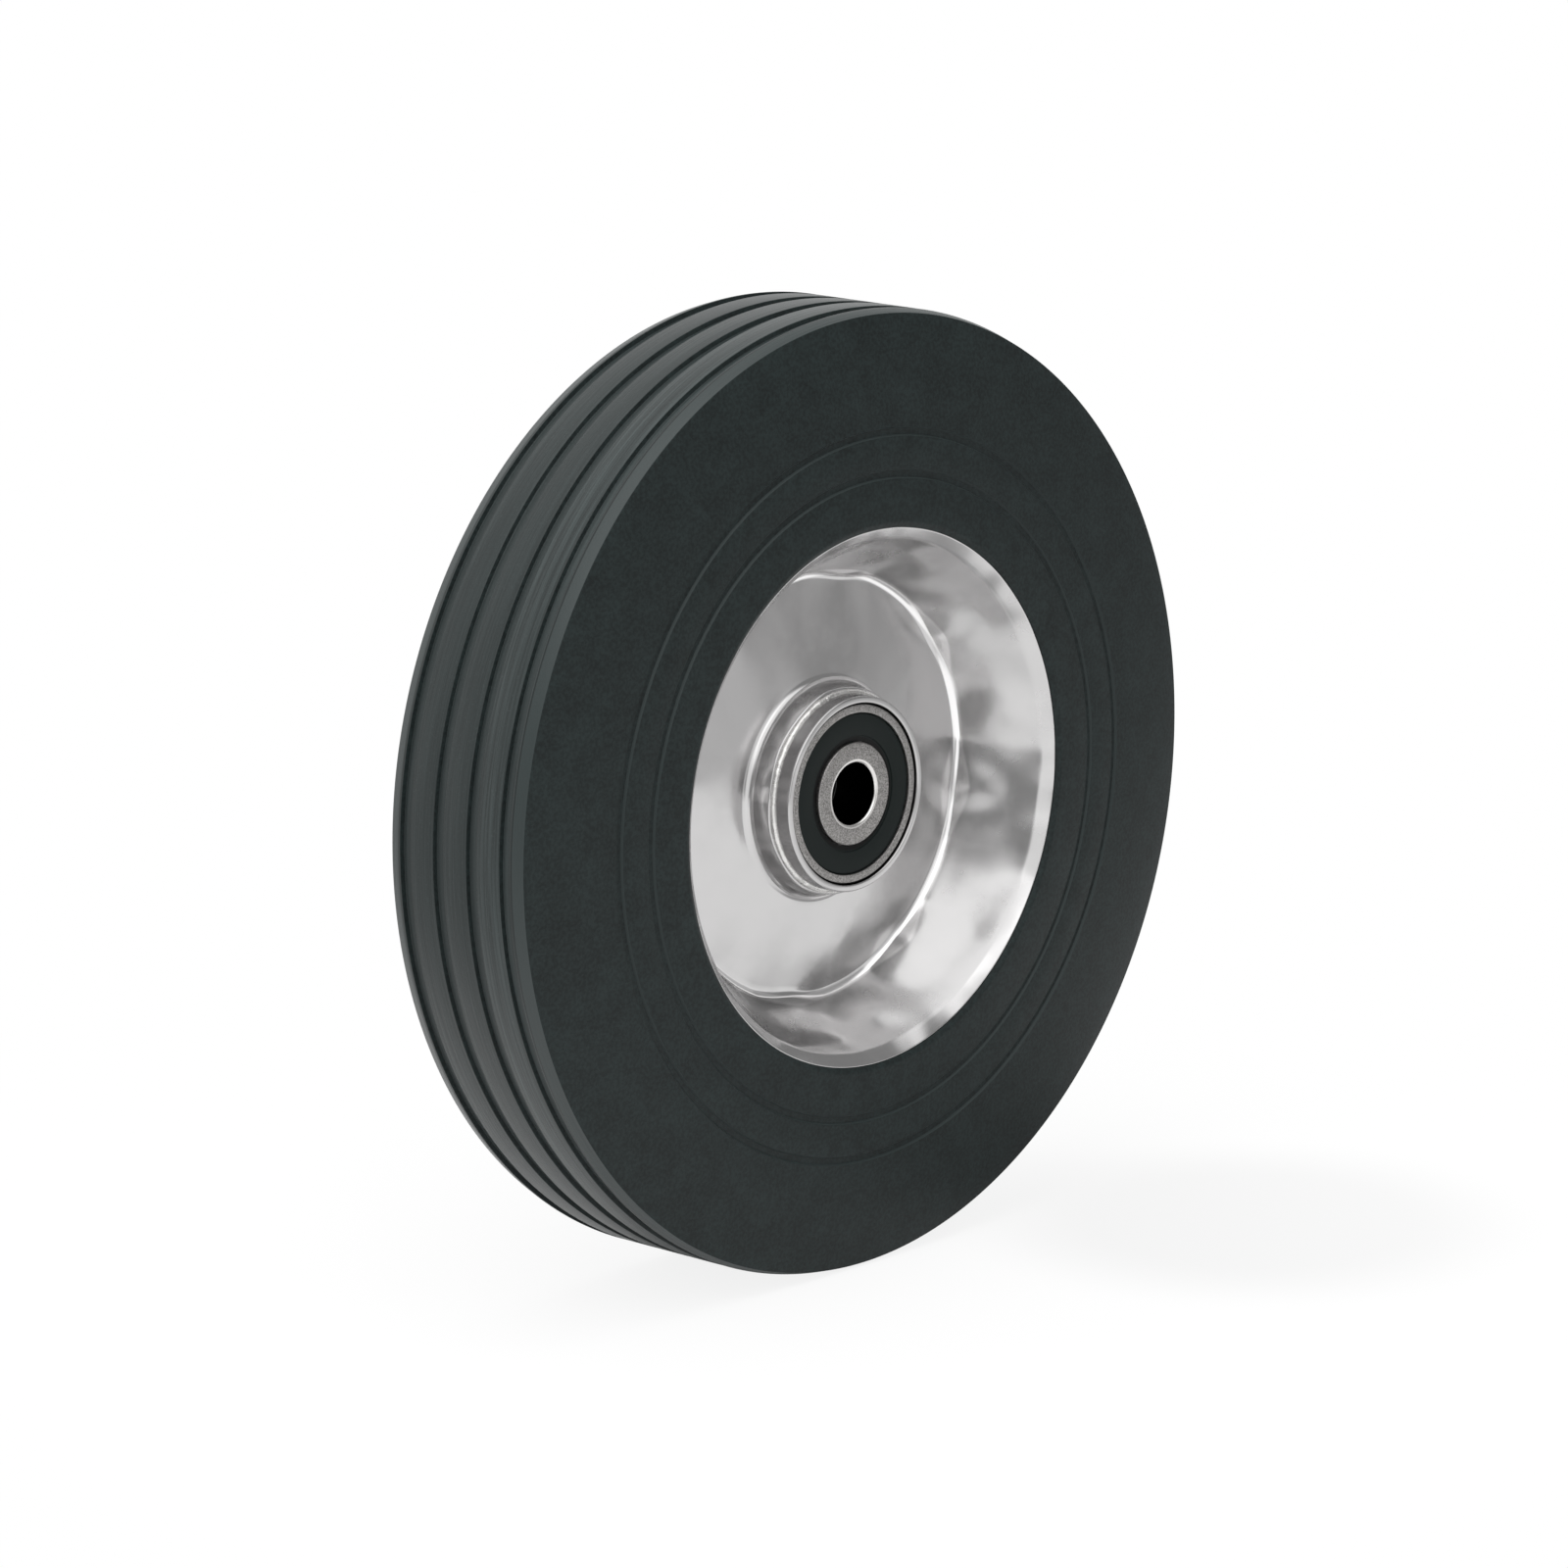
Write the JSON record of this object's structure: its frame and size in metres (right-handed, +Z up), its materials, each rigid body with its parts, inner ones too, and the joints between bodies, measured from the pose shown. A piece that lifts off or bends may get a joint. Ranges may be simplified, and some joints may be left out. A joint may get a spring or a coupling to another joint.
{
  "type": "solid rubber wheel",
  "caption": "Solid black rubber wheel with a grooved tread, clamped between bright pressed steel hub discs and turning on sealed ball bearings round a plain axle bore.",
  "frame": {"origin": "centre of the wheel, on the axle's axis", "axes": "+Y along the axle, the side in the picture faces -Y; +Z up, the tread is the rim round Y"},
  "size_m": [0.2484, 0.0556, 0.2484],
  "materials": {
    "tyre_rubber": "matte moulded",
    "plated_steel": "bright plated",
    "bearing_steel": "ground",
    "ball_steel": "polished",
    "cage_steel": "pressed",
    "turned_steel": "blackened",
    "seal_rubber": "moulded"
  },
  "bodies": {
    "inner_races": {"bearing_spacer": "turned_steel", "front_inner_ring": "bearing_steel", "rear_inner_ring": "bearing_steel"},
    "wheel": {"tyre": "tyre_rubber", "hub_tube": "plated_steel", "front_hub_disc": "plated_steel", "front_weld_bead": "plated_steel", "front_outer_ring": "bearing_steel", "front_outer_seal": "seal_rubber", "front_inner_seal": "seal_rubber", "rear_hub_disc": "plated_steel", "rear_weld_bead": "plated_steel", "rear_outer_ring": "bearing_steel", "rear_outer_seal": "seal_rubber", "rear_inner_seal": "seal_rubber"},
    "front_cage": {"front_cage_outer_half": "cage_steel", "front_cage_inner_half": "cage_steel", "front_cage_rivets": "cage_steel"},
    "front_ball_1": {"front_ball_1": "ball_steel"},
    "front_ball_2": {"front_ball_2": "ball_steel"},
    "front_ball_3": {"front_ball_3": "ball_steel"},
    "front_ball_4": {"front_ball_4": "ball_steel"},
    "front_ball_5": {"front_ball_5": "ball_steel"},
    "front_ball_6": {"front_ball_6": "ball_steel"},
    "front_ball_7": {"front_ball_7": "ball_steel"},
    "front_ball_8": {"front_ball_8": "ball_steel"},
    "rear_cage": {"rear_cage_outer_half": "cage_steel", "rear_cage_inner_half": "cage_steel", "rear_cage_rivets": "cage_steel"},
    "rear_ball_1": {"rear_ball_1": "ball_steel"},
    "rear_ball_2": {"rear_ball_2": "ball_steel"},
    "rear_ball_3": {"rear_ball_3": "ball_steel"},
    "rear_ball_4": {"rear_ball_4": "ball_steel"},
    "rear_ball_5": {"rear_ball_5": "ball_steel"},
    "rear_ball_6": {"rear_ball_6": "ball_steel"},
    "rear_ball_7": {"rear_ball_7": "ball_steel"},
    "rear_ball_8": {"rear_ball_8": "ball_steel"}
  },
  "joints": [
    {"name": "wheel_spin", "type": "hinge", "parent": "inner_races", "child": "wheel", "pos_m": [0, 0, 0], "axis": [0, 1, 0], "continuous": true},
    {"name": "front_cage_spin", "type": "hinge", "parent": "inner_races", "child": "front_cage", "pos_m": [0, -0.012, 0], "axis": [0, 1, 0], "continuous": true},
    {"name": "front_ball_1_roll", "type": "hinge", "parent": "front_cage", "child": "front_ball_1", "pos_m": [0.01675, -0.012, 0], "axis": [0, 1, 0], "continuous": true},
    {"name": "front_ball_2_roll", "type": "hinge", "parent": "front_cage", "child": "front_ball_2", "pos_m": [0.01184, -0.012, 0.01184], "axis": [0, 1, 0], "continuous": true},
    {"name": "front_ball_3_roll", "type": "hinge", "parent": "front_cage", "child": "front_ball_3", "pos_m": [0, -0.012, 0.01675], "axis": [0, 1, 0], "continuous": true},
    {"name": "front_ball_4_roll", "type": "hinge", "parent": "front_cage", "child": "front_ball_4", "pos_m": [-0.01184, -0.012, 0.01184], "axis": [0, 1, 0], "continuous": true},
    {"name": "front_ball_5_roll", "type": "hinge", "parent": "front_cage", "child": "front_ball_5", "pos_m": [-0.01675, -0.012, 0], "axis": [0, 1, 0], "continuous": true},
    {"name": "front_ball_6_roll", "type": "hinge", "parent": "front_cage", "child": "front_ball_6", "pos_m": [-0.01184, -0.012, -0.01184], "axis": [0, 1, 0], "continuous": true},
    {"name": "front_ball_7_roll", "type": "hinge", "parent": "front_cage", "child": "front_ball_7", "pos_m": [0, -0.012, -0.01675], "axis": [0, 1, 0], "continuous": true},
    {"name": "front_ball_8_roll", "type": "hinge", "parent": "front_cage", "child": "front_ball_8", "pos_m": [0.01184, -0.012, -0.01184], "axis": [0, 1, 0], "continuous": true},
    {"name": "rear_cage_spin", "type": "hinge", "parent": "inner_races", "child": "rear_cage", "pos_m": [0, 0.012, 0], "axis": [0, 1, 0], "continuous": true},
    {"name": "rear_ball_1_roll", "type": "hinge", "parent": "rear_cage", "child": "rear_ball_1", "pos_m": [0.01675, 0.012, 0], "axis": [0, 1, 0], "continuous": true},
    {"name": "rear_ball_2_roll", "type": "hinge", "parent": "rear_cage", "child": "rear_ball_2", "pos_m": [0.01184, 0.012, 0.01184], "axis": [0, 1, 0], "continuous": true},
    {"name": "rear_ball_3_roll", "type": "hinge", "parent": "rear_cage", "child": "rear_ball_3", "pos_m": [0, 0.012, 0.01675], "axis": [0, 1, 0], "continuous": true},
    {"name": "rear_ball_4_roll", "type": "hinge", "parent": "rear_cage", "child": "rear_ball_4", "pos_m": [-0.01184, 0.012, 0.01184], "axis": [0, 1, 0], "continuous": true},
    {"name": "rear_ball_5_roll", "type": "hinge", "parent": "rear_cage", "child": "rear_ball_5", "pos_m": [-0.01675, 0.012, 0], "axis": [0, 1, 0], "continuous": true},
    {"name": "rear_ball_6_roll", "type": "hinge", "parent": "rear_cage", "child": "rear_ball_6", "pos_m": [-0.01184, 0.012, -0.01184], "axis": [0, 1, 0], "continuous": true},
    {"name": "rear_ball_7_roll", "type": "hinge", "parent": "rear_cage", "child": "rear_ball_7", "pos_m": [0, 0.012, -0.01675], "axis": [0, 1, 0], "continuous": true},
    {"name": "rear_ball_8_roll", "type": "hinge", "parent": "rear_cage", "child": "rear_ball_8", "pos_m": [0.01184, 0.012, -0.01184], "axis": [0, 1, 0], "continuous": true}
  ],
  "couplings": [
    {"joint": "front_cage_spin", "follows": "wheel_spin", "ratio": 0.61848},
    {"joint": "front_ball_1_roll", "follows": "wheel_spin", "ratio": 1.9916},
    {"joint": "front_ball_2_roll", "follows": "wheel_spin", "ratio": 1.9916},
    {"joint": "front_ball_3_roll", "follows": "wheel_spin", "ratio": 1.9916},
    {"joint": "front_ball_4_roll", "follows": "wheel_spin", "ratio": 1.9916},
    {"joint": "front_ball_5_roll", "follows": "wheel_spin", "ratio": 1.9916},
    {"joint": "front_ball_6_roll", "follows": "wheel_spin", "ratio": 1.9916},
    {"joint": "front_ball_7_roll", "follows": "wheel_spin", "ratio": 1.9916},
    {"joint": "front_ball_8_roll", "follows": "wheel_spin", "ratio": 1.9916},
    {"joint": "rear_cage_spin", "follows": "wheel_spin", "ratio": 0.61848},
    {"joint": "rear_ball_1_roll", "follows": "wheel_spin", "ratio": 1.9916},
    {"joint": "rear_ball_2_roll", "follows": "wheel_spin", "ratio": 1.9916},
    {"joint": "rear_ball_3_roll", "follows": "wheel_spin", "ratio": 1.9916},
    {"joint": "rear_ball_4_roll", "follows": "wheel_spin", "ratio": 1.9916},
    {"joint": "rear_ball_5_roll", "follows": "wheel_spin", "ratio": 1.9916},
    {"joint": "rear_ball_6_roll", "follows": "wheel_spin", "ratio": 1.9916},
    {"joint": "rear_ball_7_roll", "follows": "wheel_spin", "ratio": 1.9916},
    {"joint": "rear_ball_8_roll", "follows": "wheel_spin", "ratio": 1.9916}
  ]
}
